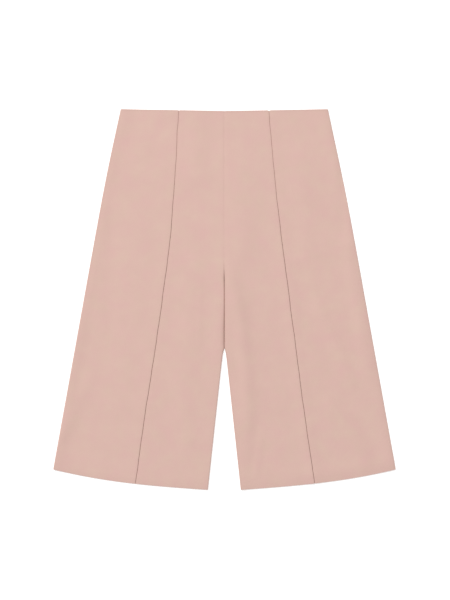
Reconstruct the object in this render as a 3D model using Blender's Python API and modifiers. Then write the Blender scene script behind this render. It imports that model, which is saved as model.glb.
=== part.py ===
"""High-waisted, wide-legged, knee-length shorts, laid flat with the front up.

Metres, +Z up. The waist points to +Y and +X is the viewer's right. The back layer rests on
z = 0 and the front layer lies on it. Each leg is a flat tube: at its side seam and its inseam
the two layers turn towards each other and meet.

"down" is always the distance below the top of the side seams, measured along -Y.
"""
import math
from collections import namedtuple

import bmesh
import bpy
import numpy as np

# ---------------------------------------------------------------- driving dimensions
LENGTH = 0.647            # top of the side seams to the lowest point of the hem
CLOTH = 0.0012            # thickness of the cloth
SEAM_GAP = 0.0003         # between neighbouring pieces
WAIST_DIP = 0.0027        # the waist edge is this much lower at the centre than at the sides
WAIST_DIP_POWER = 1.3     # roundness of that dip
HEM_RISE = 0.0337         # the hem is this much higher at the side seam than at the inseam
HEM_STRAIGHT = 0.55       # share of that rise that is a straight slope, the rest is a curve
CROTCH_TOP = 0.262        # where the centre seam starts to turn down between the legs
CROTCH = 0.300            # where it has turned under and the inseams begin
LEGS_PART = 0.4065        # the inner legs touch down to here
LEG_SLOPE = 0.1083        # below that, each inseam leans out by this share of the way down
NOTCH = 0.0016            # half width of the rounded top of the gap between the legs
NOTCH_LENGTH = 0.006      # over which that rounding opens

# A seam is straight down the leg and bends over the hip: its distance from the centre at the
# level of the waist and of the hem, the depth of its bend, and how far down the bend reaches.
SeamLine = namedtuple("SeamLine", "at_waist at_hem bend bend_reach")
SIDE_SEAM = SeamLine(at_waist=0.1761, at_hem=0.2976, bend=-0.0050, bend_reach=0.300)
PANEL_SEAM = SeamLine(at_waist=0.0767, at_hem=0.1536, bend=0.0143, bend_reach=0.360)
LAY_SHIFT = 0.0022        # the front seams lie this far towards +X at mid length

BACK_LEVEL = CLOTH / 2    # middle of the back layer's wall, its underside on z = 0
LOWEST_FRONT = BACK_LEVEL + CLOTH + SEAM_GAP
FRONT_REST = 0.0006       # the level front lies this much above its lowest place
SOFTEST_REST = 0.0002     # and eases on to that place rather than breaking at it
SEAM_DIP = 0.0005         # how far the front is drawn down at a flat seam
SEAM_DIP_WIDTH = 0.003

# Where layers below raise the front: how high at its middle or edge, and how wide.
Loft = namedtuple("Loft", "height width")
EDGE_LOFT = Loft(height=0.0012, width=0.016)      # beside side seams and inner legs
WAIST_LOFT = Loft(height=0.0005, width=0.032)     # over the turned waist edge
HEM_LOFT = Loft(height=0.0006, width=0.036)       # over the turned hem
SEAM_LOFT = Loft(height=0.0003, width=0.013)      # over the panel seams' allowances
ZIP_LOFT = Loft(height=0.0009, width=0.024)       # over the zip in the centre back
ZIP_LOFT_END = 0.275      # it has faded out this far down

# The largest soft folds of the front: a line from start to end that bows sideways at its
# middle, raised (+) or sunk (-) by height and half_width wide to each side.
Fold = namedtuple("Fold", "name start_x start_down end_x end_down bow half_width height")
FOLDS = (
    Fold("belly crest", 0.000, -0.060, 0.000, 0.360, 0.000, 0.070, 0.0007),
    Fold("right inner thigh crest", 0.014, 0.285, 0.038, 0.600, 0.012, 0.015, 0.0011),
    Fold("right thigh crest", 0.164, 0.315, 0.196, 0.475, 0.000, 0.013, 0.0008),
    Fold("right thigh trough", 0.187, 0.335, 0.220, 0.475, 0.000, 0.013, -0.0005),
    Fold("right side crest", 0.212, 0.225, 0.250, 0.505, 0.004, 0.012, 0.0008),
    Fold("right hem crest", 0.157, 0.490, 0.236, 0.640, 0.004, 0.016, 0.0009),
    Fold("right hem trough", 0.183, 0.475, 0.270, 0.610, 0.000, 0.014, -0.0006),
    Fold("left inner leg crest", -0.058, 0.400, -0.066, 0.640, -0.004, 0.021, 0.0008),
    Fold("left hem crest", -0.166, 0.445, -0.234, 0.600, 0.000, 0.016, 0.0008),
    Fold("left hem trough", -0.190, 0.410, -0.268, 0.585, 0.000, 0.013, -0.0005),
    Fold("left hip trough", -0.207, 0.165, -0.215, 0.285, 0.003, 0.013, -0.0005),
)
FOLD_FADE = 0.25          # share of a fold's length over which it fades at each end

ZIP_WIDTH = 0.024
ZIP_THICKNESS = 0.0006
ZIP_TOP = 0.012           # the closed zip reaches from here
ZIP_BOTTOM = 0.215        # down to here

# ---------------------------------------------------------------- sections
# Rows of sections from the waist to the hem, closer together where the shape changes.
Stretch = namedtuple("Stretch", "name ends_at rows")
STRETCHES = (
    Stretch("waist edge", 0.032, 2),
    Stretch("hips", 0.245, 10),
    Stretch("crotch", 0.305, 6),
    Stretch("touching thighs", LEGS_PART, 6),
    Stretch("parting legs", 0.4185, 2),
    Stretch("legs", 0.610, 11),
    Stretch("hem", LENGTH, 3),
)
EDGE_STEP = 0.0003        # straight run of the wall at a panel's very edge
ROLL_STEPS = 3            # steps round a turned edge
FLAT_SEAM_STEP = 0.003    # first section beyond a flat seam
FRONT_CENTRE_STEPS = 8    # steps across the level part of each panel
FRONT_SIDE_STEPS = 10
BACK_STEPS = 5
SOLVE_PASSES = 4          # a point's x and down depend on each other

# ---------------------------------------------------------------- finish
ROSE = (0.708, 0.479, 0.418, 1.0)
SIDE_ROSE = (0.694, 0.462, 0.402, 1.0)
BACK_ROSE = (0.680, 0.445, 0.386, 1.0)
ZIP_PINK = (0.590, 0.360, 0.310, 1.0)
CLOTH_ROUGHNESS = 0.85
TAPE_ROUGHNESS = 0.60
SMOOTH_ANGLE = math.radians(40.0)


# ---------------------------------------------------------------- outline
def smooth_step(low, high, value):
    share = min(1.0, max(0.0, (value - low) / (high - low)))
    return share * share * (3.0 - 2.0 * share)


def bell(distance, width):
    """1 at no distance, falling softly to 0 over about twice the width."""
    return math.exp(-(distance / width) ** 2)


def seam_from_centre(seam, down):
    """Distance of the side seam or the panel seam from the centre."""
    straight_top = seam.at_waist - seam.bend
    slope = (seam.at_hem - straight_top) / LENGTH
    above = max(0.0, 1.0 - down / seam.bend_reach)
    return straight_top + slope * down + seam.bend * above ** 2


def inner_from_centre(down):
    """Distance from the centre of the centre seam's edge, and below it of the inner leg."""
    below = max(0.0, down - LEGS_PART)
    notch = NOTCH * (1.0 - math.exp(-below / NOTCH_LENGTH))
    return SEAM_GAP / 2 + LEG_SLOPE * below + notch


def panel_seam_x(side, down):
    share = min(1.0, max(0.0, down / LENGTH))
    return side * seam_from_centre(PANEL_SEAM, down) + LAY_SHIFT * math.sin(math.pi * share)


def waist_down(x):
    reach = min(1.0, abs(x) / SIDE_SEAM.at_waist)
    return WAIST_DIP * (1.0 - reach ** WAIST_DIP_POWER)


def hem_down(x):
    inner = inner_from_centre(LENGTH)
    outer = seam_from_centre(SIDE_SEAM, LENGTH - HEM_RISE)
    share = max(0.0, (abs(x) - inner) / (outer - inner))
    return LENGTH - HEM_RISE * (HEM_STRAIGHT * share + (1.0 - HEM_STRAIGHT) * share ** 3)


def row_shares():
    """Every row's share of the way from the waist edge to the hem."""
    shares = [0.0]
    for stretch in STRETCHES:
        end = (stretch.ends_at - WAIST_DIP) / (LENGTH - WAIST_DIP)
        shares += list(np.linspace(shares[-1], end, stretch.rows + 1)[1:])
    return shares


# ---------------------------------------------------------------- height of the layers
def fold_height(fold, x, down):
    run_x = fold.end_x - fold.start_x
    run_down = fold.end_down - fold.start_down
    length = math.hypot(run_x, run_down)
    from_x = x - fold.start_x
    from_down = down - fold.start_down
    along = (from_x * run_x + from_down * run_down) / length ** 2
    if along <= 0.0 or along >= 1.0:
        return 0.0
    beside = (from_x * run_down - from_down * run_x) / length
    beside -= fold.bow * 4.0 * along * (1.0 - along)
    fade = smooth_step(0.0, FOLD_FADE, along) * smooth_step(0.0, FOLD_FADE, 1.0 - along)
    return fold.height * fade * bell(beside, fold.half_width)


def raised(loft, distance):
    return loft.height * bell(distance, loft.width)


def inner_turn(down):
    """0 where the centre seam lies flat, 1 where the inner edge has turned down at a leg."""
    return smooth_step(CROTCH_TOP, CROTCH, down)


def front_height(x, down):
    """Height of the middle of the front layer's wall."""
    side = math.copysign(1.0, x)
    beside_seam = x - panel_seam_x(side, down)
    beside_side = abs(x) - seam_from_centre(SIDE_SEAM, down)
    beside_inner_leg = abs(x) - inner_from_centre(down)
    leg = inner_turn(down)
    zip_fade = 1.0 - smooth_step(ZIP_BOTTOM, ZIP_LOFT_END, down)
    rise = FRONT_REST + sum(fold_height(fold, x, down) for fold in FOLDS)
    rise += raised(EDGE_LOFT, beside_side) + leg * raised(EDGE_LOFT, beside_inner_leg)
    rise += raised(WAIST_LOFT, down - waist_down(x)) + raised(HEM_LOFT, hem_down(x) - down)
    rise += raised(SEAM_LOFT, beside_seam) + zip_fade * raised(ZIP_LOFT, x)
    rise -= SEAM_DIP * bell(beside_seam, SEAM_DIP_WIDTH)
    rise -= SEAM_DIP * (1.0 - leg) * bell(x, SEAM_DIP_WIDTH)
    return LOWEST_FRONT + (rise + math.hypot(rise, SOFTEST_REST)) / 2


def roll_radius(edge_x, down):
    """Radius of a turned edge, so that the edges of the two layers end a seam gap apart."""
    between_layers = front_height(edge_x, down) - BACK_LEVEL
    return (between_layers - SEAM_GAP) / 2 - EDGE_STEP


# ---------------------------------------------------------------- sections across a panel
# x of a section's point, the x at which its layer's height is taken, and how far the point
# has turned from that height towards the other layer.
SectionPoint = namedtuple("SectionPoint", "x height_x turned")


def turned_edge(edge_x, inward, down, turn):
    """From a panel's edge to its level part: a straight step, then a quarter circle.

    turn is 1 for an edge that has turned to meet the other layer, 0 for one that lies flat.
    """
    radius = roll_radius(edge_x, down)
    lean = turn * math.pi / 2
    start = edge_x + inward * CLOTH / 2 * math.sin(lean)
    points = [SectionPoint(start, edge_x, (radius + EDGE_STEP) * math.sin(lean))]
    for step in range(ROLL_STEPS + 1):
        angle = step / ROLL_STEPS * math.pi / 2
        reach = EDGE_STEP * math.cos(lean) + radius * (1.0 - math.cos(angle))
        turned = radius * math.sin(lean) * (1.0 - math.sin(angle))
        points.append(SectionPoint(start + inward * reach, edge_x, turned))
    return points


def flat_edge(edge_x, inward):
    """A panel's edge at a seam that lies flat."""
    reaches = (0.0, EDGE_STEP, FLAT_SEAM_STEP)
    return [SectionPoint(edge_x + inward * reach, edge_x + inward * reach, 0.0)
            for reach in reaches]


def joined(first, steps, last):
    """A section from its first edge, over evenly spaced level cloth, to its last edge."""
    level = [SectionPoint(x, x, 0.0) for x in np.linspace(first[-1].x, last[-1].x, steps + 1)]
    return first + level[1:-1] + last[::-1]


def inner_leg_edge(side, down):
    return turned_edge(side * inner_from_centre(down), side, down, inner_turn(down))


def side_seam_edge(side, down):
    return turned_edge(side * seam_from_centre(SIDE_SEAM, down), -side, down, 1.0)


def front_centre_section(side, down):
    seam_edge = panel_seam_x(side, down) - side * SEAM_GAP / 2
    return joined(inner_leg_edge(side, down), FRONT_CENTRE_STEPS, flat_edge(seam_edge, -side))


def front_side_section(side, down):
    seam_edge = panel_seam_x(side, down) + side * SEAM_GAP / 2
    return joined(flat_edge(seam_edge, side), FRONT_SIDE_STEPS, side_seam_edge(side, down))


def back_section(side, down):
    return joined(inner_leg_edge(side, down), BACK_STEPS, side_seam_edge(side, down))


def front_point(point, down):
    return (point.x, LENGTH / 2 - down, front_height(point.height_x, down) - point.turned)


def back_point(point, down):
    return (point.x, LENGTH / 2 - down, BACK_LEVEL + point.turned)


def solve_point(section, side, column, share):
    """The section point in this column at this share of the way down, and its down."""
    down = WAIST_DIP + share * (LENGTH - WAIST_DIP)
    for _ in range(SOLVE_PASSES):
        point = section(side, down)[column]
        top = waist_down(point.x)
        down = top + share * (hem_down(point.x) - top)
    return section(side, down)[column], down


# ---------------------------------------------------------------- pieces
def finish(piece, colour, roughness, collection):
    """Give a piece its own material and put it in the collection."""
    material = bpy.data.materials.new(piece.name)
    material.use_nodes = True
    shader = material.node_tree.nodes["Principled BSDF"]
    shader.inputs["Base Color"].default_value = colour
    shader.inputs["Roughness"].default_value = roughness
    shader.inputs["Metallic"].default_value = 0.0
    piece.data.materials.append(material)
    piece.data.shade_smooth()
    piece.data.set_sharp_from_angle(angle=SMOOTH_ANGLE)
    collection.objects.link(piece)


def panel(name, side, section, height, colour, collection):
    """A cut panel: a flat grid bent to its sections, then thickened to a wall."""
    shares = row_shares()
    last_row = len(shares) - 1
    last_column = len(section(side, 0.0)) - 1
    grid = bmesh.new()
    bmesh.ops.create_grid(grid, x_segments=last_column, y_segments=last_row, size=0.5)
    for vertex in grid.verts:
        column = round((vertex.co.x + 0.5) * last_column)
        row = round((0.5 - vertex.co.y) * last_row)
        point, down = solve_point(section, side, column, shares[row])
        vertex.co = height(point, down)
    mesh = bpy.data.meshes.new(name)
    grid.to_mesh(mesh)
    grid.free()
    piece = bpy.data.objects.new(name, mesh)
    wall = piece.modifiers.new("wall", "SOLIDIFY")
    wall.thickness = CLOTH
    wall.offset = 0.0
    wall.use_even_offset = True
    finish(piece, colour, CLOTH_ROUGHNESS, collection)


def zip_strip(name, collection):
    """The closed zip inside the centre-back seam, lying on the back layer."""
    strip = bmesh.new()
    bmesh.ops.create_cube(strip, size=1.0)
    for vertex in strip.verts:
        vertex.co.x *= ZIP_WIDTH
        vertex.co.y *= ZIP_BOTTOM - ZIP_TOP
        vertex.co.z *= ZIP_THICKNESS
    mesh = bpy.data.meshes.new(name)
    strip.to_mesh(mesh)
    strip.free()
    piece = bpy.data.objects.new(name, mesh)
    middle_down = (ZIP_TOP + ZIP_BOTTOM) / 2
    piece.location = (0.0, LENGTH / 2 - middle_down, CLOTH + SEAM_GAP + ZIP_THICKNESS / 2)
    finish(piece, ZIP_PINK, TAPE_ROUGHNESS, collection)


def main():
    for old in list(bpy.data.objects):
        bpy.data.objects.remove(old)
    shorts = bpy.data.collections.new("high_waisted_shorts")
    bpy.context.scene.collection.children.link(shorts)
    for hand, side in (("left", -1.0), ("right", 1.0)):
        panel(f"front_centre_{hand}", side, front_centre_section, front_point, ROSE, shorts)
        panel(f"front_side_{hand}", side, front_side_section, front_point, SIDE_ROSE, shorts)
        panel(f"back_{hand}", side, back_section, back_point, BACK_ROSE, shorts)
    zip_strip("back_zip", shorts)


main()
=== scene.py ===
# %% [markdown]
# # High-waisted shorts in rose crepe, laid flat
# Six cut panels and a concealed zip make this garment. It lies on a pale table with its front
# up, so each leg is a flat tube: a front layer on a back layer. Every cell below makes one
# thing, and each text cell says what it is on the real garment and why it is made this way.
# All lengths are metres. The waist points to +Y, +X is the viewer's right, and "down" is the
# distance below the top of the side seams.

# %% Load the frame
import math
from collections import namedtuple

import bmesh
import bpy
import numpy as np
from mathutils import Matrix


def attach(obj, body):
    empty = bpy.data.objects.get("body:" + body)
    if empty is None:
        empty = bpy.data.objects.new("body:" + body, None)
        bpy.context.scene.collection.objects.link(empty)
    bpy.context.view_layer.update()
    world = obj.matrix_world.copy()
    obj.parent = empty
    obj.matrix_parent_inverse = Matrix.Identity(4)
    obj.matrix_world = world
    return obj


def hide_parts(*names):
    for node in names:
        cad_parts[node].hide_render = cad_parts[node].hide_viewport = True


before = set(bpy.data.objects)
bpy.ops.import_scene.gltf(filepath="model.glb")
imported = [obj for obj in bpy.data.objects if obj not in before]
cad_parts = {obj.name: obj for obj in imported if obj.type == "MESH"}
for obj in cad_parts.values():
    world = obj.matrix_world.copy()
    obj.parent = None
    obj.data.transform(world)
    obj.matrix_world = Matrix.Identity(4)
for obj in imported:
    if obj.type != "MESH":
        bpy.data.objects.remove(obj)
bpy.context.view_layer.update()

# %% [markdown]
# ## The cut
# A pattern maker draws the outline first. The waist edge dips a little at the centre, the side
# seams bend over the hips and then run straight, and each hem rises towards its side seam,
# with a slight sag in mid leg. Below the crotch the legs touch for a while and then part.
# The solids have the same main sizes, so the cloth made here covers them. The small bends
# are too slight for a solid and belong to this lay of the cloth.

# %% Sizes of the outline
LENGTH = 0.647            # top of the side seams to the lowest point of the hem
WAIST_DIP = 0.0027        # the waist edge is this much lower at the centre
WAIST_DIP_POWER = 1.1     # how round the dip is, and 1 is a V
WAIST_LIFT = 0.0005       # and this much above that curve at the sides
HEM_RISE = 0.0348         # the hem is this much higher at the side seam
HEM_STRAIGHT = 0.60       # share of that rise that is a straight slope
HEM_SAG = {-1.0: 0.0009, 1.0: 0.0006}      # the hem hangs lower by this much in mid leg
CROTCH_TOP = 0.252        # the centre seam starts to turn down between the legs
CROTCH = 0.300            # and has turned under here, where the inseams begin
LEGS_PART = 0.4060        # the inner legs touch down to here
LEG_SLOPE = 0.1083        # below that, each inseam leans out by this share of the way down
NOTCH = {-1.0: 0.0022, 1.0: 0.0016}        # the gap's rounded top, to the left and right
NOTCH_LENGTH = 0.006
TOUCHING = 0.00001        # half the gap between the legs where they touch

# Distances from the centre. A seam is straight below bend_reach, and at the waist it lies
# off that straight line by its bend.
SeamLine = namedtuple("SeamLine", "at_waist at_hem bend bend_reach")
Bend = namedtuple("Bend", "down reach shift")
SIDE_SEAM = SeamLine(at_waist=0.1761, at_hem=0.2976, bend=-0.0050, bend_reach=0.300)
SIDE_BENDS = {            # how far each side seam curves out more, over the hips
    -1.0: (Bend(0.125, 0.100, 0.0009), Bend(0.060, 0.100, 0.0004)),
    1.0: (Bend(0.125, 0.100, 0.0009), Bend(0.060, 0.100, -0.0004)),
}
PANEL_SEAM = SeamLine(at_waist=0.0767, at_hem=0.1536, bend=0.0143, bend_reach=0.360)
LAY_SHIFT = 0.0022        # the front seams lie this far towards +X at mid length


# %% Lines of the outline
def smooth_step(low, high, value):
    share = np.clip((value - low) / (high - low), 0.0, 1.0)
    return share * share * (3.0 - 2.0 * share)


def bell(distance, width):
    """1 at no distance, falling softly to 0 over about twice the width."""
    return np.exp(-((distance / width) ** 2))


def seam_from_centre(seam, down):
    straight_top = seam.at_waist - seam.bend
    slope = (seam.at_hem - straight_top) / LENGTH
    above = np.maximum(0.0, 1.0 - down / seam.bend_reach)
    return straight_top + slope * down + seam.bend * above ** 2


def bent(bends, down):
    return sum(bend.shift * bell(down - bend.down, bend.reach) for bend in bends)


def side_from_centre(side, down):
    return seam_from_centre(SIDE_SEAM, down) + bent(SIDE_BENDS[side], down)


def inner_from_centre(side, down):
    """Distance from the centre of the centre seam's edge, and below it of the inner leg."""
    below = np.maximum(0.0, down - LEGS_PART)
    notch = NOTCH[side] * (1.0 - np.exp(-below / NOTCH_LENGTH))
    return TOUCHING + LEG_SLOPE * below + notch


# %% [markdown]
# ## Seams are never ruler straight
# A long seam in light crepe wanders by a few tenths of a millimetre, because the two plies
# creep under the presser foot. A sum of three slow waves is enough for that. The lay adds
# slower bends: the waist lies a little to the left, and each line drifts by a millimetre or
# two on its way down. Both panels at a seam read the same line, so they stay together. Where
# a seam meets the waist edge it draws the edge down, on the right-hand seam as a small notch.

# %% The seams' wander, the bends of the lay and the notches in the edges
Wave = namedtuple("Wave", "length size phase")
SEAM_WANDER = (
    Wave(length=0.190, size=0.00022, phase=0.4),
    Wave(length=0.067, size=0.00016, phase=2.1),
    Wave(length=0.031, size=0.00009, phase=4.4),
)
LEFT_KINK = 0.0005        # the left seam steps outwards by this much just below the waist
LEFT_KINK_DOWN = 0.027
LEFT_KINK_LENGTH = 0.010
SEAM_BENDS = {
    -1.0: (Bend(0.030, 0.050, -0.0015), Bend(0.215, 0.060, 0.0014), Bend(0.350, 0.050, 0.0006),
           Bend(0.500, 0.060, -0.0006), Bend(0.645, 0.040, 0.0005)),
    1.0: (Bend(0.020, 0.050, -0.0013), Bend(0.150, 0.070, -0.0008), Bend(0.295, 0.035, 0.0010),
          Bend(0.480, 0.090, -0.0004), Bend(0.630, 0.035, 0.0014)),
}
EDGE_NOTCH = {-1.0: 0.0005, 0.0: 0.0003, 1.0: 0.0012}    # left seam, centre, right seam
EDGE_NOTCH_WIDTH = 0.0016


def wave_sum(waves, side, down):
    total = 0.0
    for wave in waves:
        total = total + wave.size * np.sin(2 * math.pi * down / wave.length + side + wave.phase)
    return total


def wander(side, down):
    total = wave_sum(SEAM_WANDER, side, down)
    if side < 0:
        kink = 1.0 - smooth_step(LEFT_KINK_DOWN, LEFT_KINK_DOWN + LEFT_KINK_LENGTH, down)
        total = total + LEFT_KINK * kink
    return total


def panel_seam_x(side, down):
    share = np.clip(down / LENGTH, 0.0, 1.0)
    shift = LAY_SHIFT * np.sin(math.pi * share)
    line = side * seam_from_centre(PANEL_SEAM, down) + shift
    return line + bent(SEAM_BENDS[side], down) + wander(side, down)


def waist_down(x):
    reach = np.minimum(1.0, np.abs(x) / SIDE_SEAM.at_waist)
    edge = WAIST_DIP * (1.0 - reach ** WAIST_DIP_POWER) - WAIST_LIFT * reach
    for side, depth in EDGE_NOTCH.items():
        seam_x = panel_seam_x(side, 0.0) if side else 0.0
        edge = edge + depth * bell(x - seam_x, EDGE_NOTCH_WIDTH)
    return edge


def hem_down(x):
    inner = inner_from_centre(1.0, LENGTH)
    outer = seam_from_centre(SIDE_SEAM, LENGTH - HEM_RISE)
    share = np.maximum(0.0, (np.abs(x) - inner) / (outer - inner))
    sag = np.where(x < 0, HEM_SAG[-1.0], HEM_SAG[1.0]) * np.sin(math.pi * np.minimum(share, 1.0))
    return LENGTH - HEM_RISE * (HEM_STRAIGHT * share + (1.0 - HEM_STRAIGHT) * share ** 3) + sag


LEG_OPENING = seam_from_centre(SIDE_SEAM, LENGTH - HEM_RISE) - inner_from_centre(1.0, LENGTH)
print("waist", round(2 * SIDE_SEAM.at_waist, 3), "m across, hem of a leg",
      round(float(LEG_OPENING), 3), "m")

# %% [markdown]
# ## How high the cloth lies
# Laid on a table, the front touches the back almost everywhere. It is lifted a little by what
# lies under it: turned edges, seam allowances and the zip. It also keeps soft folds from
# wearing and packing: a crest is raised, a trough is sunk. Each fold is one row of a table, a
# line that bows sideways, with a half width and a height. A simulation could make such folds,
# but these have to lie where the real ones do, so they are placed one by one. Below the crotch
# the thighs press together and the left one dives down between them, which leaves a dark
# line. Two halves never lie alike, so some values are given per side: -1 is left, 1 is right.
# That dark line is deepened by painted shade along the inner edge of the left leg.

# %% Thickness and rest heights
SOLID_CLOTH = 0.0012      # wall of the solids
SOLID_GAP = 0.0003        # between the solids of the back and the front
SOLID_FRONT = 1.5 * SOLID_CLOTH + SOLID_GAP      # middle of the front solids' wall
CREPE = 0.0006            # real thickness of a medium crepe
FOLD_RADIUS = 0.00035     # middle of the cloth where it is folded flat and pressed
BACK_REST = CREPE / 2
LOWEST_FRONT = SOLID_FRONT + (SOLID_CLOTH - CREPE) / 2      # upper faces level with the solids
FRONT_REST = 0.0006       # the level front lies this much above its lowest place
SOFTEST_REST = 0.0002     # how softly it comes to rest there
SEAM_DIP = 0.00012        # the front is drawn down at a flat seam
SEAM_DIP_WIDTH = 0.0030

Loft = namedtuple("Loft", "height width")
EDGE_LOFT = Loft(height=0.0012, width=0.016)
INNER_LOFT = {-1.0: Loft(height=0.0005, width=0.016), 1.0: Loft(height=0.0012, width=0.016)}
WAIST_LOFT = Loft(height=0.0005, width=0.032)
HEM_LOFT = Loft(height=0.0006, width=0.036)
SEAM_LOFT = {-1.0: Loft(height=0.0003, width=0.013), 1.0: Loft(height=0.0010, width=0.013)}
SEAM_LOFT_AT_WAIST = 0.3  # share of it at the waist
SEAM_LOFT_GROWS = (0.20, 0.30)        # between these distances down it grows to all of it
ZIP_LOFT = Loft(height=0.0003, width=0.024)
ZIP_BOTTOM = 0.215
ZIP_LOFT_END = 0.275

# Where the front rolls off towards an edge: how far it falls, and over what distance.
SIDE_DROOP = {-1.0: Loft(height=0.0004, width=0.0050), 1.0: Loft(height=0.0018, width=0.0050)}
INNER_DROOP = {-1.0: Loft(height=0.0005, width=0.0060), 1.0: Loft(height=0.0005, width=0.0050)}
HEM_DROOP = {-1.0: Loft(height=0.0012, width=0.0080), 1.0: Loft(height=0.0014, width=0.0110)}

# Where the thighs press together the left one dives down between them, most at the bottom.
THIGH_DIVE = Loft(height=0.0030, width=0.0032)
THIGH_DIVE_START = 0.305
THIGH_DIVE_DEEPEST = 0.395
THIGH_DIVE_END = 0.425
CROTCH_DIVE = 0.5         # and by this share just above the crotch point
CROTCH_DIVE_DOWN = 0.291
CROTCH_DIVE_REACH = 0.014
THIGH_OPENING = 0.0006    # there the front's inner edges stand up to this far off the centre

# %% The folds of the front
Fold = namedtuple("Fold", "name start_x start_down end_x end_down bow half_width height")
FRONT_FOLDS = (
    Fold("belly crest", 0.000, -0.060, 0.000, 0.330, 0.000, 0.070, 0.0004),
    Fold("left waist roll", -0.130, 0.002, -0.008, 0.004, 0.000, 0.014, 0.0009),
    Fold("left belly crest", -0.048, 0.000, -0.052, 0.145, 0.000, 0.020, 0.0012),
    Fold("right belly crest", 0.028, 0.040, 0.032, 0.290, 0.000, 0.024, 0.0013),
    Fold("crotch crest", -0.002, 0.210, 0.004, 0.470, 0.000, 0.030, 0.0008),
    Fold("right inner thigh crest", 0.002, 0.235, 0.036, 0.620, 0.015, 0.013, 0.0019),
    Fold("right inner thigh swell", 0.006, 0.265, 0.041, 0.560, 0.006, 0.023, 0.0010),
    Fold("right hip crest", 0.118, 0.045, 0.150, 0.290, 0.000, 0.018, 0.0010),
    Fold("right hip dent", 0.199, 0.090, 0.204, 0.235, 0.000, 0.011, -0.0010),
    Fold("right thigh crest", 0.145, 0.308, 0.229, 0.485, 0.000, 0.011, 0.0013),
    Fold("right side crest", 0.196, 0.185, 0.251, 0.505, 0.003, 0.012, 0.0012),
    Fold("right hem crest", 0.158, 0.481, 0.256, 0.604, 0.000, 0.012, 0.0013),
    Fold("right hem trough", 0.189, 0.457, 0.275, 0.607, 0.000, 0.012, -0.0007),
    Fold("right hem roll", 0.120, 0.624, 0.340, 0.589, 0.000, 0.012, 0.0004),
    Fold("left inner leg crest", -0.060, 0.340, -0.066, 0.620, -0.003, 0.021, 0.0011),
    Fold("left inner crease", -0.0405, 0.270, -0.0430, 0.420, 0.000, 0.004, 0.00025),
    Fold("left thigh crest", -0.056, 0.235, -0.055, 0.415, 0.000, 0.020, 0.0011),
    Fold("left hem crease", -0.2145, 0.425, -0.2920, 0.590, 0.000, 0.013, 0.0009),
    Fold("left side rise", -0.236, 0.280, -0.300, 0.640, 0.000, 0.018, 0.0012),
    Fold("left hip trough", -0.190, 0.150, -0.196, 0.460, 0.000, 0.012, -0.0006),
    Fold("left thigh drag line", -0.104, 0.312, -0.030, 0.346, 0.003, 0.005, 0.00024),
    Fold("left knee drag line", -0.118, 0.452, -0.066, 0.462, -0.002, 0.006, 0.00020),
    Fold("left hip drag line", -0.066, 0.250, -0.024, 0.268, 0.002, 0.005, 0.00018),
    Fold("right hip drag line", 0.098, 0.262, 0.176, 0.236, -0.003, 0.007, 0.00022),
    Fold("right hem flick", 0.067, 0.530, 0.050, 0.640, 0.000, 0.006, 0.00045),
)
FOLD_FADE = 0.25          # share of a fold's length over which it fades at each end


def fold_height(fold, x, down):
    run_x = fold.end_x - fold.start_x
    run_down = fold.end_down - fold.start_down
    length = math.hypot(run_x, run_down)
    from_x = x - fold.start_x
    from_down = down - fold.start_down
    along = (from_x * run_x + from_down * run_down) / length ** 2
    beside = (from_x * run_down - from_down * run_x) / length
    beside = beside - fold.bow * 4.0 * along * (1.0 - along)
    fade = smooth_step(0.0, FOLD_FADE, along) * smooth_step(0.0, FOLD_FADE, 1.0 - along)
    return fold.height * fade * bell(beside, fold.half_width)


print(len(FRONT_FOLDS), "folds on the front")

# %% [markdown]
# ## The pucker beside a seam
# Thread tension gathers the cloth a little along a seam, in short uneven ripples that die out
# within a few millimetres. Two waves that drift in and out of step keep them from looking
# like a regular pattern.

# %% Pucker
PUCKER = (Wave(0.0115, 0.00005, 0.0), Wave(0.0173, 0.00006, 1.3))
PUCKER_REACH = 0.006


def pucker(side, beside_seam, down):
    return wave_sum(PUCKER, side, down) * bell(beside_seam, PUCKER_REACH)


# %% The front's height
def side_of(x):
    """A panel lies wholly on one side of the centre: -1 left, 1 right."""
    return 1.0 if np.mean(x) > 0 else -1.0


def raised(loft, distance):
    return loft.height * bell(distance, loft.width)


def drooped(loft, distance):
    return loft.height * np.exp(-np.maximum(distance, 0.0) / loft.width)


def inner_turn(down):
    """0 where the centre seam lies flat, 1 where the inner edge has turned down at a leg."""
    return smooth_step(CROTCH_TOP, CROTCH, down)


def squeezed(down):
    """How hard the thighs press together, 0 where they don't and 1 where they press most."""
    deeper = smooth_step(THIGH_DIVE_START, THIGH_DIVE_DEEPEST, down)
    deeper = deeper + CROTCH_DIVE * bell(down - CROTCH_DIVE_DOWN, CROTCH_DIVE_REACH)
    parted = smooth_step(THIGH_DIVE_DEEPEST, THIGH_DIVE_END, down)
    return np.minimum(deeper, 1.0) * (1.0 - parted)


def thigh_dive(side, distance, down):
    return squeezed(down) * drooped(THIGH_DIVE, distance) if side < 0 else 0.0


def seam_loft(side, beside_seam, down):
    share = SEAM_LOFT_AT_WAIST + (1.0 - SEAM_LOFT_AT_WAIST) * smooth_step(*SEAM_LOFT_GROWS, down)
    return share * raised(SEAM_LOFT[side], beside_seam)


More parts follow.
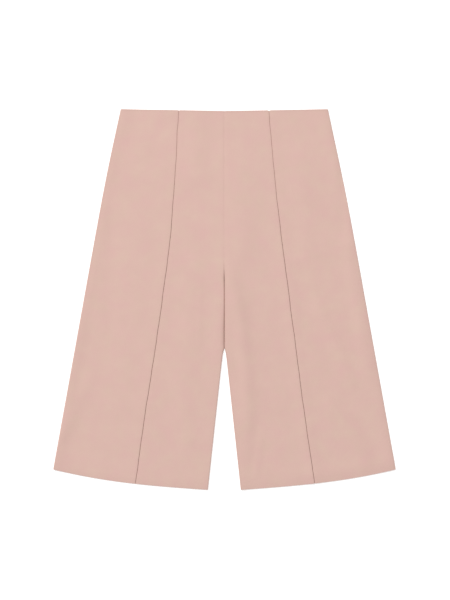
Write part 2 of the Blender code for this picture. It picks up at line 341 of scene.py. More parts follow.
def front_mid(x, down):
    """Height of the middle of the front layer."""
    side = side_of(x)
    beside_seam = x - panel_seam_x(side, down)
    inside_side = side_from_centre(side, down) - np.abs(x)
    inside_leg = np.abs(x) - inner_from_centre(side, down)
    above_hem = hem_down(x) - down
    leg = inner_turn(down)
    zip_fade = 1.0 - smooth_step(ZIP_BOTTOM, ZIP_LOFT_END, down)
    rise = FRONT_REST + sum(fold_height(fold, x, down) for fold in FRONT_FOLDS)
    rise = rise + raised(EDGE_LOFT, inside_side) + leg * raised(INNER_LOFT[side], inside_leg)
    rise = rise + raised(WAIST_LOFT, down - waist_down(x)) + raised(HEM_LOFT, above_hem)
    rise = rise + seam_loft(side, beside_seam, down) + zip_fade * raised(ZIP_LOFT, x)
    rise = rise - SEAM_DIP * bell(beside_seam, SEAM_DIP_WIDTH)
    rise = rise - SEAM_DIP * (1.0 - leg) * bell(x, SEAM_DIP_WIDTH)
    rise = rise - drooped(SIDE_DROOP[side], inside_side)
    rise = rise - leg * drooped(INNER_DROOP[side], inside_leg) - thigh_dive(side, inside_leg, down)
    rise = rise - drooped(HEM_DROOP[side], above_hem) + pucker(side, beside_seam, down)
    return LOWEST_FRONT + (rise + np.hypot(rise, SOFTEST_REST)) / 2


# %% [markdown]
# ## The back
# The back rests on the table, so its underside is flat. Only a few shallow hollows lift off
# it, like the folds of the front but softer: under the seat, behind the knees and beside the
# darts. The two darts that shape the seat are sewn creases from the waist down.

# %% The back's height
BACK_FOLDS = (
    Fold("left seat hollow", -0.040, 0.205, -0.150, 0.262, 0.006, 0.017, 0.00035),
    Fold("right seat hollow", 0.034, 0.216, 0.138, 0.276, -0.005, 0.019, 0.00030),
    Fold("left thigh hollow", -0.050, 0.330, -0.100, 0.520, -0.007, 0.018, 0.00040),
    Fold("right thigh hollow", 0.062, 0.318, 0.084, 0.500, 0.008, 0.016, 0.00036),
    Fold("left knee hollow", -0.175, 0.430, -0.218, 0.590, 0.004, 0.015, 0.00032),
    Fold("right knee hollow", 0.150, 0.455, 0.230, 0.575, -0.004, 0.017, 0.00034),
    Fold("left hip hollow", -0.150, 0.105, -0.188, 0.280, 0.003, 0.014, 0.00026),
    Fold("right hip hollow", 0.140, 0.090, 0.190, 0.265, 0.003, 0.013, 0.00024),
)
DART_X = 0.085            # from the centre, at the waist
DART_LEAN = 0.008         # towards the side by its point
DART_LENGTH = 0.115
DART_FULL = 0.35          # share of its length down to which the crease is at its strongest
DART_CREASE = 0.00028
DART_WIDTH = 0.0011


def dart_crease(x, down):
    side = side_of(x)
    line = side * (DART_X + DART_LEAN * down / DART_LENGTH)
    fade = 1.0 - smooth_step(DART_FULL * DART_LENGTH, DART_LENGTH, down)
    return DART_CREASE * fade * bell(x - line, DART_WIDTH)


def back_mid(x, down):
    """Height of the middle of the back layer."""
    hollows = sum(fold_height(fold, x, down) for fold in BACK_FOLDS)
    return BACK_REST + hollows + dart_crease(x, down)


print(len(BACK_FOLDS), "hollows in the back")

# %% [markdown]
# ## Edges that turn
# No raw edge shows on a finished garment. At a side seam and an inseam the front rolls down
# to meet the back, which rolls up. At a long panel seam each panel turns sharply under, and
# its allowance lies pressed open beneath it, which leaves the fine dark groove that the eye
# reads as the seam. The waist edge and the hem are folded under in the same way. So one
# description serves them all: a radius, the angle that the cloth turns through, and the width
# of what lies turned under. An angle of 90 degrees is a rolled edge and 180 a folded one.
# Where a turned hem or waist meets another edge, two layers need room: the turning nests
# inside a rolled edge, and it stops just short of a sewn seam.

# %% How an edge turns
QUARTER = math.pi / 2
SEAM_RADIUS = 0.00065     # middle of the cloth where a panel turns under at a seam
CENTRE_LEAN = math.radians(33.0)      # the well-pressed centre seam turns down only this far
CENTRE_FADE = 0.4                      # and by this share less a little above the crotch
CENTRE_FADE_DOWN = 0.222
CENTRE_FADE_REACH = 0.032
FRONT_CENTRE_SHIFT = -0.0009           # the front's centre seam lies this far to one side
SEAM_GAP_AT_WAIST = 0.00014
SEAM_GAP_AT_LEG = 0.00036 # a panel seam opens by this much from the hips down
SEAM_OPENS = (0.06, 0.26) # and between these distances down it widens
SEAM_ALLOWANCE = 0.010
UNFOLD = 0.005            # the fold opens over this length at a turned edge
TRIM = 0.017              # and the allowance is trimmed away by here
TRIMMED_END = 0.0004
WAIST_TURN = 0.012        # width turned in at the waist
HEM_TURN = 0.030          # and at the hem
LAYER_GAP = 0.0002        # between the edges of front and back
TUCK = 0.0003             # the end of a turning is this wide where it stops short of a seam
TUCK_CREEP = 0.0001       # and this much of it lies under the allowance
CLEARANCE = 0.00002       # between a nested turning and the centre of its rolled edge

# Each of these is worked out from the side and the distance down.
Edge = namedtuple("Edge", "line lean radius allowance tucked")


def nothing(side, down):
    return np.zeros_like(down)


def roll_radius(x, down):
    """Radius with which front and back roll towards each other and nearly meet here."""
    return (front_mid(x, down) - back_mid(x, down) - LAYER_GAP) / 2


def side_line(side, down):
    return side * side_from_centre(side, down)


def inner_line(side, down):
    return side * inner_from_centre(side, down)


def front_inner_line(side, down):
    shift = FRONT_CENTRE_SHIFT * (1.0 - inner_turn(down))
    return inner_line(side, down) + shift + side * THIGH_OPENING * squeezed(down) ** 2


def inner_radius(side, down):
    rolled = roll_radius(inner_line(side, down) + side * CREPE / 2, down)
    return SEAM_RADIUS + (rolled - SEAM_RADIUS) * inner_turn(down)


def inner_lean(side, down):
    flat = CENTRE_LEAN * (1.0 - CENTRE_FADE * bell(down - CENTRE_FADE_DOWN, CENTRE_FADE_REACH))
    return flat + (QUARTER - flat) * inner_turn(down)


def clear_of_turnings(side, down):
    """Distance along a panel seam from the nearer of the turned waist and the turned hem."""
    seam_x = panel_seam_x(side, down)
    below_turn = down - waist_down(seam_x) - WAIST_TURN
    above_turn = hem_down(seam_x) - HEM_TURN - down
    return np.minimum(below_turn, above_turn)


def panel_edge_lean(side, down):
    return QUARTER * (1.0 + smooth_step(0.0, UNFOLD, clear_of_turnings(side, down)))


def panel_allowance(side, down):
    kept = smooth_step(UNFOLD, TRIM, clear_of_turnings(side, down))
    return TRIMMED_END + (SEAM_ALLOWANCE - TRIMMED_END) * kept


def panel_seam_gap(down):
    opened = smooth_step(*SEAM_OPENS, down)
    return SEAM_GAP_AT_WAIST + (SEAM_GAP_AT_LEG - SEAM_GAP_AT_WAIST) * opened


def inner_tucked(side, down):
    return 1.0 - inner_turn(down)


SIDE_EDGE = Edge(
    line=side_line,
    lean=lambda side, down: np.full_like(down, QUARTER),
    radius=lambda side, down: roll_radius(side_line(side, down) - side * CREPE / 2, down),
    allowance=nothing,
    tucked=nothing,
)
BACK_INNER_EDGE = Edge(inner_line, inner_lean, inner_radius, nothing, inner_tucked)
FRONT_INNER_EDGE = Edge(front_inner_line, inner_lean, inner_radius, nothing, inner_tucked)


def panel_edge(towards):
    """The edge of the panel that lies on this side of the seam: -1 left of it, 1 right."""
    return Edge(
        line=lambda side, down: panel_seam_x(side, down) + towards * panel_seam_gap(down) / 2,
        lean=panel_edge_lean,
        radius=lambda side, down: np.full_like(down, SEAM_RADIUS),
        allowance=panel_allowance,
        tucked=lambda side, down: np.ones_like(down),
    )


def edge_path(edge, side, inward, down, under, step, run):
    """x and depth at this share of the turn and this share of the allowance.

    A waist or hem turning lies this far under. It nests in a rolled edge, and at a sewn seam
    it stays level and stops short of the seam.
    """
    radius = edge.radius(side, down)
    lean = edge.lean(side, down)
    angle = step * lean
    widest = (radius + CREPE / 2) * np.sin(np.minimum(lean, QUARTER))
    beyond = run * edge.allowance(side, down)
    reach = widest - radius * np.sin(angle) - beyond * np.cos(angle)
    depth = radius * (1.0 - np.cos(angle)) + beyond * np.sin(angle)
    nested = np.minimum(under, radius - CREPE / 2 - CLEARANCE)
    turned = under / (2 * FOLD_RADIUS)
    level = turned * (radius * np.sin(angle) + TUCK * (1.0 - step) - TUCK_CREEP * run)
    tucked = edge.tucked(side, down)
    reach = reach + (1.0 - tucked) * nested * np.sin(angle) + tucked * level
    nested_depth = depth + under * np.cos(angle)
    level_depth = depth * (1.0 - turned) + under
    depth = (1.0 - tucked) * nested_depth + tucked * level_depth
    return edge.line(side, down) + inward * reach, depth


# %% [markdown]
# ## A panel
# Each panel is one grid of points, as cloth is one grid of threads. Its columns run from edge
# to edge, closer together towards the seams, and its rows from the end of the waist turning,
# round the waist edge, down the leg, round the hem and up to the end of the hem turning. Both
# outline curves depend on x and each seam on the way down, so a few passes settle each point.
# Solidify then gives the sheet its real thickness.

# %% Columns and rows of the grids
ROLL = np.linspace(0.0, 1.0, 9)           # steps round a rolled edge
TURN = np.linspace(0.0, 1.0, 13)          # steps round a folded edge
ALLOWANCE_RUN = np.linspace(0.0, 1.0, 5)[1:]
CROWDING = 0.55           # how much closer the columns lie at the edges than in the middle
HALF_TURN = np.linspace(0.0, math.pi, 9)
WAIST_TURN_ROWS = 5
HEM_TURN_ROWS = 10

# Down to each distance, the rows' spacing is this share of the plain one. They lie closer near
# the waist, where the legs part and near the hem.
ROW_STOPS = (
    (0.012, 0.6), (0.034, 0.4), (0.392, 1.0), (0.424, 0.4), (0.590, 1.0), (0.622, 0.4),
    (LENGTH, 0.6),
)

Columns = namedtuple("Columns", "first_step first_run middle last_step last_run")
Rows = namedtuple("Rows", "share beyond under")


def edge_columns(rolled):
    if rolled:
        return ROLL, np.zeros_like(ROLL)
    step = np.concatenate([TURN, np.ones_like(ALLOWANCE_RUN)])
    run = np.concatenate([np.zeros_like(TURN), ALLOWANCE_RUN])
    return step, run


def columns(first_rolled, last_rolled, count):
    first_step, first_run = edge_columns(first_rolled)
    last_step, last_run = edge_columns(last_rolled)
    even = np.linspace(0.0, 1.0, count + 1)
    crowded = even - CROWDING * np.sin(2 * math.pi * even) / (2 * math.pi)
    return Columns(first_step[::-1], first_run[::-1], crowded[1:-1], last_step, last_run)


def rows(spacing):
    """Rows of the turned waist, the body of the panel and the turned hem."""
    start = WAIST_DIP
    downs = [np.array([start])]
    for stop, closer in ROW_STOPS:
        steps = max(1, round((stop - start) / (spacing * closer)))
        downs.append(np.linspace(start, stop, steps + 1)[1:])
        start = stop
    share = (np.concatenate(downs) - WAIST_DIP) / (LENGTH - WAIST_DIP)
    arc_beyond = FOLD_RADIUS * np.sin(HALF_TURN)[1:]
    arc_under = FOLD_RADIUS * (1.0 - np.cos(HALF_TURN))[1:]
    waist_run = np.linspace(0.0, WAIST_TURN, WAIST_TURN_ROWS + 1)[1:]
    hem_run = np.linspace(0.0, HEM_TURN, HEM_TURN_ROWS + 1)[1:]
    before = np.concatenate([waist_run[::-1], -arc_beyond[::-1]])
    after = np.concatenate([arc_beyond, -hem_run])
    folded = 2 * FOLD_RADIUS
    under_before = np.concatenate([np.full(len(waist_run), folded), arc_under[::-1]])
    under_after = np.concatenate([arc_under, np.full(len(hem_run), folded)])
    return Rows(
        share=np.concatenate([np.zeros(len(before)), share, np.ones(len(after))]),
        beyond=np.concatenate([before, np.zeros(len(share)), after]),
        under=np.concatenate([under_before, np.zeros(len(share)), under_after]),
    )


# %% From sections to a surface
SOLVE_PASSES = 5


def section(first, last, side, grid, down, under):
    """x and depth for a whole grid of points."""
    left = len(grid.first_step)
    right = down.shape[1] - len(grid.last_step)
    near = edge_path(
        first, side, side, down[:, :left], under[:, :left], grid.first_step, grid.first_run)
    far = edge_path(
        last, side, -side, down[:, right:], under[:, right:], grid.last_step, grid.last_run)
    level, level_under = down[:, left:right], under[:, left:right]
    start = edge_path(first, side, side, level, level_under, 0.0, 0.0)[0]
    end = edge_path(last, side, -side, level, level_under, 0.0, 0.0)[0]
    middle = (start + (end - start) * grid.middle, level_under)
    return [np.concatenate(parts, axis=1) for parts in zip(near, middle, far)]


def panel_points(first, last, side, grid, lines, layer_mid, inside):
    """Points of a panel's middle surface. inside is the way into the leg: -1 down, 1 up."""
    count = len(grid.first_step) + len(grid.middle) + len(grid.last_step)
    share, beyond, under = (np.repeat(line[:, None], count, axis=1) for line in lines)
    margin = FOLD_RADIUS + CREPE / 2
    down = WAIST_DIP + share * (LENGTH - WAIST_DIP) + beyond
    for _ in range(SOLVE_PASSES):
        x, depth = section(first, last, side, grid, down, under)
        top = waist_down(x) + margin
        bottom = hem_down(x) - margin
        down = top + share * (bottom - top) + beyond
    x, depth = section(first, last, side, grid, down, under)
    return np.stack([x, LENGTH / 2 - down, layer_mid(x, down) + inside * depth], axis=2)


# %% From a surface to a cloth shell
SMOOTH_ANGLE = math.radians(40.0)
PAINTED_SHADE = "painted_shade"       # name of the share of painted shade kept at each point


def mesh_of(name, shape):
    mesh = bpy.data.meshes.new(name)
    shape.to_mesh(mesh)
    shape.free()
    return mesh


def placed(name, data):
    piece = bpy.data.objects.new(name, data)
    bpy.context.scene.collection.objects.link(piece)
    return piece


def cloth_mesh(name, points, thickness, painted_shade=None):
    """A grid bent to these points, thickened to a closed shell."""
    row_count, column_count = points.shape[:2]
    grid = bmesh.new()
    bmesh.ops.create_grid(
        grid, x_segments=column_count - 1, y_segments=row_count - 1, size=0.5)
    order = np.array([(round((0.5 - vertex.co.y) * (row_count - 1)),
                       round((vertex.co.x + 0.5) * (column_count - 1))) for vertex in grid.verts])
    for vertex, (row, column) in zip(grid.verts, order):
        vertex.co = points[row, column]
    mesh = mesh_of(name, grid)
    # The share of painted shade at each point, which the crepe shader reads.
    if painted_shade is not None:
        share = mesh.attributes.new(PAINTED_SHADE, "FLOAT", "POINT")
        share.data.foreach_set("value", painted_shade[order[:, 0], order[:, 1]].astype(np.float32))
    sheet = placed(name, mesh)
    wall = sheet.modifiers.new("wall", "SOLIDIFY")
    wall.thickness = thickness
    wall.offset = 0.0
    graph = bpy.context.evaluated_depsgraph_get()
    shell = bpy.data.meshes.new_from_object(sheet.evaluated_get(graph))
    sheet.modifiers.clear()
    sheet.data = shell
    bpy.data.meshes.remove(mesh)
    shell.name = name
    shell.shade_smooth()
    shell.set_sharp_from_angle(angle=SMOOTH_ANGLE)
    return sheet


# %% [markdown]
# ## Colours and one helper for nodes
# A colour is picked as an sRGB hex value, as a screen shows it, and a shader wants it linear.
# One function does that. Another adds a node, sets what it is given and links what is a
# socket, which keeps each material short enough to read as a recipe.

# %% Helpers for materials
def linear(hex_colour):
    channels = [int(hex_colour[i:i + 2], 16) / 255 for i in (1, 3, 5)]
    return [c / 12.92 if c <= 0.04045 else ((c + 0.055) / 1.055) ** 2.4 for c in channels] + [1.0]


def add_node(material, kind, inputs=None, **settings):
    node = material.node_tree.nodes.new(kind)
    for name, value in settings.items():
        setattr(node, name, value)
    for name, value in (inputs or {}).items():
        if isinstance(value, bpy.types.NodeSocket):
            material.node_tree.links.new(value, node.inputs[name])
        else:
            node.inputs[name].default_value = value
    return node


def new_material(name):
    material = bpy.data.materials.new(name)
    material.use_nodes = True
    return material, material.node_tree.nodes["Principled BSDF"]


def tint_and_emboss(material, shader, pattern, light, deep, depth):
    """For the zip's parts: one pattern mixes two tones and raises the surface."""
    colour = add_node(material, "ShaderNodeMix", {
        "Factor": pattern, "A": linear(light), "B": linear(deep)}, data_type="RGBA")
    bump = add_node(material, "ShaderNodeBump", {"Height": pattern, "Distance": depth})
    links = material.node_tree.links
    links.new(colour.outputs["Result"], shader.inputs["Base Color"])
    links.new(bump.outputs["Normal"], shader.inputs["Normal"])


# %% [markdown]
# ## Crepe
# Crepe is woven from hard-twisted yarn that springs back and leaves a finely pebbled, matt
# face with hardly any shine. So the shader is rough, has a thin sheen from the fibre ends,
# and two bumps: the pebbles, which are about 0.9 mm across, and a broader unevenness of a few
# millimetres. A pixel of the picture is 1.7 mm, so the pebbles alone wouldn't show, and the
# broader one is drawn at 5 mm to be seen. The dye takes unevenly too, in faint clouds and
# slightly pinker blotches. Along some edges, the long seams and where the thighs press
# together, the colour is drawn towards a darker tone, which is painted shade. A shader can't
# know where the edges are, so each point of a panel carries its own share of that painted
# shade as an attribute, and the shader reads that.

# %% Crepe material
PEBBLE = 0.0009
PEBBLE_DEPTH = 0.00005
UNEVEN = 0.0050
UNEVEN_DEPTH = 0.00009
CLOUD = 0.030             # size of the clouds of the deeper tone
BLOTCH = 0.026            # and of the pinker blotches
POLYESTER_IOR = 1.54


def crepe(name, light, deep, pink, edge_shade):
    """The blotches use noise in 4D, because in 3D they would copy the clouds."""
    material, shader = new_material(name)
    place = add_node(material, "ShaderNodeTexCoord").outputs["Object"]
    clouds = add_node(material, "ShaderNodeTexNoise", {
        "Vector": place, "Scale": 1 / CLOUD, "Detail": 4.0, "Roughness": 0.6})
    blotches = add_node(material, "ShaderNodeTexNoise", {
        "Vector": place, "Scale": 1 / BLOTCH, "Detail": 3.0}, noise_dimensions="4D")
    pebbles = add_node(material, "ShaderNodeTexVoronoi", {
        "Vector": place, "Scale": 1 / PEBBLE}, feature="SMOOTH_F1")
    uneven = add_node(material, "ShaderNodeTexNoise", {
        "Vector": place, "Scale": 1 / UNEVEN, "Detail": 2.0})
    # Painted shade: this share draws the colour towards the last, darker tone.
    painted_shade = add_node(material, "ShaderNodeAttribute", attribute_name=PAINTED_SHADE)
    dyed = add_node(material, "ShaderNodeMix", {
        "Factor": clouds.outputs["Fac"], "A": linear(light), "B": linear(deep)}, data_type="RGBA")
    flushed = add_node(material, "ShaderNodeMix", {
        "Factor": blotches.outputs["Fac"], "A": dyed.outputs["Result"], "B": linear(pink)},
        data_type="RGBA")
    colour = add_node(material, "ShaderNodeMix", {
        "Factor": painted_shade.outputs["Fac"], "A": flushed.outputs["Result"], "B": linear(edge_shade)},
        data_type="RGBA")
    broad = add_node(material, "ShaderNodeBump", {
        "Height": uneven.outputs["Fac"], "Distance": UNEVEN_DEPTH})
    fine = add_node(material, "ShaderNodeBump", {
        "Height": pebbles.outputs["Distance"], "Distance": PEBBLE_DEPTH,
        "Normal": broad.outputs["Normal"]})
    links = material.node_tree.links
    links.new(colour.outputs["Result"], shader.inputs["Base Color"])
    links.new(fine.outputs["Normal"], shader.inputs["Normal"])
    shader.inputs["Roughness"].default_value = 0.88
    shader.inputs["IOR"].default_value = POLYESTER_IOR
    shader.inputs["Specular IOR Level"].default_value = 0.25
    shader.inputs["Sheen Weight"].default_value = 0.04
    shader.inputs["Sheen Roughness"].default_value = 0.5
    return material


# The last tone is painted shade, laid along some edges, the long seams and between the thighs.
ROSE = crepe("rose_crepe", light="#D9BDAC", deep="#CDB1A1", pink="#D5ACA7", edge_shade="#C2A297")
print("crepe: pebbles", PEBBLE * 1000, "mm, unevenness", UNEVEN * 1000, "mm")

# %% [markdown]
# ## The front panels
# Two centre panels and two side panels, cut in pairs. Each replaces its plain solid and rides
# on the one rigid body. This cloth isn't stretched or gathered anywhere.

# %% Make the front panels
FRONT_SPACING = 0.0024
BACK_SPACING = 0.0030
FRONT_ROWS = rows(FRONT_SPACING)
BACK_ROWS = rows(BACK_SPACING)
# Painted shade: along these edges, the long seams and between the thighs the crepe's colour is
# drawn towards a darker tone.
SHADE_REACH = 0.0022      # painted shade reaches this far in from an edge
SHADE_SIDE = 0.7          # how dark the painted shade is at the left side seam and the right inseam
SHADE_WAIST = 0.55
SHADE_THIGH = 0.8         # painted shade where the thighs press together
SHADE_SEAM = 0.2          # painted shade along the long panel seams


def painted_shade_share(points):
    """Share of painted shade: 1 at a shaded edge, 0 a few millimetres inside it."""
    x = points[:, :, 0]
    down = LENGTH / 2 - points[:, :, 1]
    side = side_of(x)
    inside_leg = np.abs(x) - inner_from_centre(side, down)
    if side < 0:
        share = SHADE_SIDE * bell(side_from_centre(side, down) - np.abs(x), SHADE_REACH)
        at_leg = SHADE_THIGH * squeezed(down)
    else:
        share = np.zeros_like(x)
        at_leg = SHADE_SIDE * inner_turn(down)
    share = np.maximum(share, at_leg * bell(inside_leg, SHADE_REACH))
    share = np.maximum(share, SHADE_SEAM * bell(x - panel_seam_x(side, down), SHADE_REACH))
    return np.maximum(share, SHADE_WAIST * bell(down - waist_down(x), SHADE_REACH))


def lay_panel(name, node, points):
    piece = cloth_mesh(name, points, CREPE, painted_shade_share(points))
    piece.data.materials.append(ROSE)
    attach(piece, "root")
    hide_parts(node)
    return piece


SIDES = {"left": -1.0, "right": 1.0}
CENTRE_COLUMNS = columns(first_rolled=True, last_rolled=False, count=50)
SIDE_COLUMNS = columns(first_rolled=False, last_rolled=True, count=50)
BACK_COLUMNS = columns(first_rolled=True, last_rolled=True, count=92)

# %% [markdown]
# ## The back panels
# The back has no panel seams: it is shaped by the centre seam, the side seams and two darts.
# It is laid first, because the front rests on it.

# %% Lay the back, then the front
for hand, side in SIDES.items():
    points = panel_points(
        BACK_INNER_EDGE, SIDE_EDGE, side, BACK_COLUMNS, BACK_ROWS, back_mid, 1.0)
    lay_panel(f"back_{hand}_panel", f"back_{hand}", points)

for hand, side in SIDES.items():
    points = panel_points(
        FRONT_INNER_EDGE, panel_edge(-side), side, CENTRE_COLUMNS, FRONT_ROWS, front_mid, -1.0)
    lay_panel(f"front_centre_{hand}_panel", f"front_centre_{hand}", points)
    points = panel_points(
        panel_edge(side), SIDE_EDGE, side, SIDE_COLUMNS, FRONT_ROWS, front_mid, -1.0)
    lay_panel(f"front_side_{hand}_panel", f"front_side_{hand}", points)

# %% [markdown]
# ## The concealed zip
# A fixed waist needs an opening, and on this cut it is a concealed zip inside the centre-back
# seam. It lies hidden between the layers: two woven tapes, two nylon coils that mesh along
# the middle, a small slider at the top with its drop-shaped pull, and a stop at the foot. The
# tapes are cloth, so they are flat grids like the panels. A coil is a helix, so its wire is
# swept along computed points.

# %% Sizes of the zip
ZIP_TOP = 0.0165          # just below the turned waist edge
TAPE_WIDTH = 0.011
TAPE = 0.00035
TAPE_LEVEL = 0.0012       # middle of the tapes, just above the back's centre seam
TAPE_INNER = 0.0001       # each tape starts this far from the middle
COIL_TOP = ZIP_TOP + 0.003            # the coils are a little shorter than the tapes
COIL_FOOT = ZIP_BOTTOM - 0.006
COIL_MESH = 0.00035       # each coil reaches across the middle by this much
COIL_PITCH = 0.0011
COIL_HALF_WIDTH = 0.0010
COIL_HALF_HEIGHT = 0.00042
WIRE = 0.00016
COIL_LEVEL = TAPE_LEVEL + TAPE / 2 + COIL_HALF_HEIGHT + WIRE
TURN_POINTS = 10
WIRE_SIDES = 6
SLIDER_DOWN = 0.0215
SLIDER_LENGTH = 0.0075
SLIDER_WIDTH = 0.00442
SLIDER_TAPER = 0.22       # its shoulders are wider and its tail narrower by this share
SLIDER_LOW = TAPE_LEVEL + TAPE / 2 + 0.00006      # just clear of the tapes
SLIDER_HIGH = 0.0033
PULL_LENGTH = 0.0150
PULL_WIDTH = 0.0036
PULL_NECK = 0.30          # share of its width where it hangs on the slider
PULL_GAP = 0.0003
PULL_LOW = COIL_LEVEL + COIL_HALF_HEIGHT + WIRE + 0.00005     # just clear of the coils
STOP_HALF_WIDTH = 0.0016
STOP_TOP = ZIP_BOTTOM - 0.0055
STOP_FOOT = ZIP_BOTTOM - 0.0015
STOP_HIGH = COIL_LEVEL + COIL_HALF_HEIGHT


# %% Zip materials
TAPE_RIB = 0.00533        # a twill's ribs, drawn coarser, as 0.6 mm is too fine to show


def woven_tape(name, light, deep):
    """Polyester tape in a twill. A wave repeats each 0.2 pi / scale of x + y."""
    material, shader = new_material(name)
    place = add_node(material, "ShaderNodeTexCoord").outputs["Object"]
    scale = 0.2 * math.pi / (TAPE_RIB * math.sqrt(2))
    ribs = add_node(material, "ShaderNodeTexWave", {
        "Vector": place, "Scale": scale, "Distortion": 0.4}, bands_direction="DIAGONAL")
    tint_and_emboss(material, shader, ribs.outputs["Fac"], light, deep, 0.00005)
    shader.inputs["Roughness"].default_value = 0.7
    return material


def smooth_finish(name, light, deep, roughness, grain):
    """Moulded nylon or enamelled zinc: one colour with faint variation and orange peel."""
    material, shader = new_material(name)
    place = add_node(material, "ShaderNodeTexCoord").outputs["Object"]
    noise = add_node(material, "ShaderNodeTexNoise", {"Vector": place, "Scale": 1 / grain})
    tint_and_emboss(material, shader, noise.outputs["Fac"], light, deep, 0.00001)
    shader.inputs["Roughness"].default_value = roughness
    return material


ROSE_TAPE = woven_tape("rose_polyester_tape", "#C99F94", "#BF9489")
ROSE_NYLON = smooth_finish("rose_nylon_coil", "#C79C91", "#BE9186", 0.45, 0.002)
ROSE_ENAMEL = smooth_finish("rose_enamel_on_zinc", "#C1968B", "#B98D82", 0.30, 0.003)


# %% Tapes
def hold_zip_piece(piece, material):
    piece.data.materials.append(material)
    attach(piece, "root")


for hand, side in SIDES.items():
    across = side * np.linspace(TAPE_INNER, TAPE_WIDTH, num=12)
    down = np.linspace(ZIP_TOP, ZIP_BOTTOM, num=80)
    x, down = np.meshgrid(across, down)
    tape_points = np.stack([x, LENGTH / 2 - down, np.full_like(x, TAPE_LEVEL)], axis=2)
    tape = cloth_mesh(f"zip_tape_{hand}", tape_points, TAPE)
    hold_zip_piece(tape, ROSE_TAPE)
    if side < 0:
        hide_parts("back_zip")


# %% Coils
def wire_mesh(name, centre, radius):
    """A round wire along these points, closed at both ends."""
    ahead = np.gradient(centre, axis=0)
    ahead /= np.linalg.norm(ahead, axis=1)[:, None]
    across = np.cross(ahead, [0.0, 1.0, 0.0])
    across /= np.linalg.norm(across, axis=1)[:, None]
    up = np.cross(across, ahead)
    angles = np.arange(WIRE_SIDES) * 2 * math.pi / WIRE_SIDES
    rings = (centre[:, None] + radius * (
        across[:, None] * np.cos(angles)[None, :, None]
        + up[:, None] * np.sin(angles)[None, :, None]))
    wire = bmesh.new()
    verts = [[wire.verts.new(point) for point in ring] for ring in rings]
    for ring, following in zip(verts, verts[1:]):
        for i in range(WIRE_SIDES):
            j = (i + 1) % WIRE_SIDES
            wire.faces.new((ring[i], ring[j], following[j], following[i]))
    wire.faces.new(verts[0][::-1])
    wire.faces.new(verts[-1])
    bmesh.ops.recalc_face_normals(wire, faces=wire.faces)
    mesh = mesh_of(name, wire)
    mesh.shade_smooth()
    return placed(name, mesh)


coil_length = COIL_FOOT - COIL_TOP
coil_turns = round(coil_length / COIL_PITCH)
for hand, side in SIDES.items():
    turn = np.linspace(0.0, coil_turns, coil_turns * TURN_POINTS + 1)
    phase = 2 * math.pi * turn + (0.0 if side < 0 else math.pi)
    middle_x = side * (COIL_HALF_WIDTH - COIL_MESH)
    centre = np.stack([
        middle_x + COIL_HALF_WIDTH * np.cos(phase),
        LENGTH / 2 - COIL_TOP - turn / coil_turns * coil_length,
        COIL_LEVEL + COIL_HALF_HEIGHT * np.sin(phase)], axis=1)
    coil = wire_mesh(f"zip_coil_{hand}", centre, WIRE)
    hold_zip_piece(coil, ROSE_NYLON)
    print(coil.name, "has", coil_turns, "turns")


# %% [markdown]
# ## The slider and its pull
# The slider is a small cast body, wider at its shoulders, and the pull is a flat drop with a
# round eye. Both are outlines raised to a thickness, with their corners rounded by a bevel.

# %% Slider, pull and foot stop
def raised_outline(name, outline, low, high, bevel):
    """A flat outline of (x, down) points raised to a thickness, with rounded corners."""
    body = bmesh.new()
    ring = [body.verts.new((x, LENGTH / 2 - down, low)) for x, down in outline]
    face = body.faces.new(ring)
    raised_face = bmesh.ops.extrude_face_region(body, geom=[face])["geom"]
    moved = [item for item in raised_face if isinstance(item, bmesh.types.BMVert)]
    bmesh.ops.translate(body, verts=moved, vec=(0.0, 0.0, high - low))
    bmesh.ops.recalc_face_normals(body, faces=body.faces)
    bmesh.ops.bevel(
        body, geom=body.edges[:], offset=bevel, segments=3, affect="EDGES", profile=0.5)
    mesh = mesh_of(name, body)
    mesh.shade_smooth()
    mesh.set_sharp_from_angle(angle=SMOOTH_ANGLE)
    return placed(name, mesh)


def slider_outline():
    """Widest at its shoulders, narrow at its tail."""
    outline = []
    for angle in np.linspace(0.0, 2 * math.pi, 24, endpoint=False):
        half = SLIDER_WIDTH / 2 * (1.0 + SLIDER_TAPER * math.cos(angle))
        outline.append((half * math.sin(angle), SLIDER_DOWN - SLIDER_LENGTH / 2 * math.cos(angle)))
    return outline


def pull_outline():
    """A drop: narrow where it hangs on the slider, round at its end."""
    start = SLIDER_DOWN + SLIDER_LENGTH / 2 + PULL_GAP
    outline = []
    for angle in np.linspace(0.0, 2 * math.pi, 28, endpoint=False):
        share = (1.0 - math.cos(angle)) / 2
        half = PULL_WIDTH / 2 * (PULL_NECK + (1.0 - PULL_NECK) * share)
        outline.append((half * math.sin(angle), start + share * PULL_LENGTH))
    return outline


def stop_outline():
    half = STOP_HALF_WIDTH
    return [(half, STOP_TOP), (half, STOP_FOOT), (-half, STOP_FOOT), (-half, STOP_TOP)]


for piece in (
        raised_outline("zip_slider", slider_outline(), SLIDER_LOW, SLIDER_HIGH, bevel=0.00025),
        raised_outline("zip_pull", pull_outline(), PULL_LOW, SLIDER_HIGH, bevel=0.00012),
        raised_outline("zip_stop", stop_outline(), SLIDER_LOW, STOP_HIGH, bevel=0.0002)):
    hold_zip_piece(piece, ROSE_ENAMEL)
    print(piece.name, "has", len(piece.data.polygons), "faces")

# %% [markdown]
# ## The table
# The picture's background is pure white right up to the cloth, as on a light table, whose
# glow swallows the shadows. So the floor is a wide pale disc that glows a little.

# %% Floor
FLOOR_RADIUS = 40.0
FLOOR_LEVEL = -0.0001
FLOOR_GLOW = 0.40

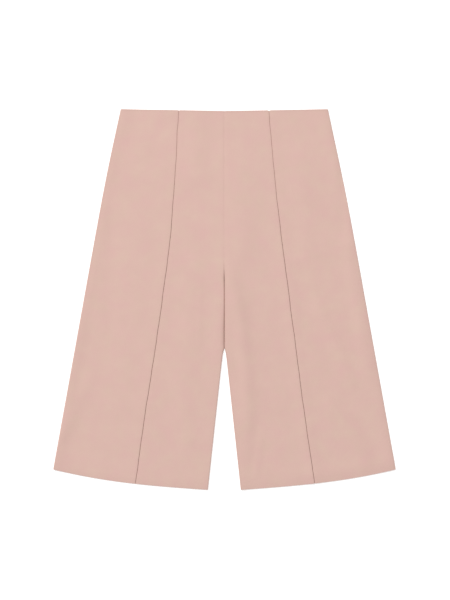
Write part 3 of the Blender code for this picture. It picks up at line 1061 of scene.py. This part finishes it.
floor_shape = bmesh.new()
bmesh.ops.create_circle(floor_shape, cap_ends=True, segments=96, radius=FLOOR_RADIUS)
floor = placed("pale_table", mesh_of("pale_table", floor_shape))
floor.location.z = FLOOR_LEVEL
pale, shader = new_material("pale_light_table")
shader.inputs["Base Color"].default_value = linear("#EBEBEB")
shader.inputs["Roughness"].default_value = 0.9
shader.inputs["Specular IOR Level"].default_value = 0.1
shader.inputs["Emission Color"].default_value = (1.0, 1.0, 1.0, 1.0)
shader.inputs["Emission Strength"].default_value = FLOOR_GLOW
floor.data.materials.append(pale)
print("floor", 2 * FLOOR_RADIUS, "m across")

# %% [markdown]
# ## The light
# Soft light from all round, and one large lamp far to the upper left. The slopes that face it
# are a touch lighter and those that turn away a touch darker, which is all that shows of the
# folds. Its distance sets how much the picture darkens towards the lower right. Its power
# follows from the brightness wanted and the square of its distance.

# %% Lamp and surroundings
ROUND_LIGHT = 0.593       # brightness that the surroundings give a white sheet
KEY_LIGHT = 0.50          # and that the lamp gives it
KEY_DISTANCE = 10.0
KEY_SIZE = 3.6
KEY_AZIMUTH = math.radians(131.0)     # from +X towards +Y
KEY_ELEVATION = math.radians(48.0)

world = bpy.data.worlds.new("studio")
world.use_nodes = True
world.node_tree.nodes["Background"].inputs["Color"].default_value = (1.0, 1.0, 1.0, 1.0)
world.node_tree.nodes["Background"].inputs["Strength"].default_value = ROUND_LIGHT
bpy.context.scene.world = world

lamp = bpy.data.lights.new("large_soft_lamp", "AREA")
lamp.shape = "DISK"
lamp.size = KEY_SIZE
lamp.energy = KEY_LIGHT * math.pi ** 2 * KEY_DISTANCE ** 2 / math.sin(KEY_ELEVATION)
key = placed("large_soft_lamp", lamp)
flat_distance = KEY_DISTANCE * math.cos(KEY_ELEVATION)
key.location = (
    flat_distance * math.cos(KEY_AZIMUTH),
    flat_distance * math.sin(KEY_AZIMUTH),
    KEY_DISTANCE * math.sin(KEY_ELEVATION),
)
key.rotation_mode = "QUATERNION"
key.rotation_quaternion = key.location.to_track_quat("Z", "Y")
print("lamp", round(lamp.energy), "W")

# %% [markdown]
# ## The camera
# The picture looks straight down. One of its pixels is 1.70 mm on the cloth, and it is 450
# pixels wide and 600 high, so an 85 mm lens has to hang 2.4 m above the front layer.

# %% Camera
PIXEL = 0.0017
PICTURE_HEIGHT = 600
SENSOR = 0.036            # the long side of the picture
LENS = 0.085
PICTURE_CENTRE = (0.0009, -0.0005)
CLOTH_TOP = 0.0033        # the height at which a pixel has that size

camera_data = bpy.data.cameras.new("camera")
camera_data.sensor_width = SENSOR * 1000
camera_data.lens = LENS * 1000
camera = placed("camera", camera_data)
camera_height = PICTURE_HEIGHT * PIXEL / SENSOR * LENS
camera.location = (*PICTURE_CENTRE, CLOTH_TOP + camera_height)
bpy.context.scene.camera = camera
bpy.context.scene.view_settings.view_transform = "Standard"
print("camera", round(camera.location.z, 3), "m up")
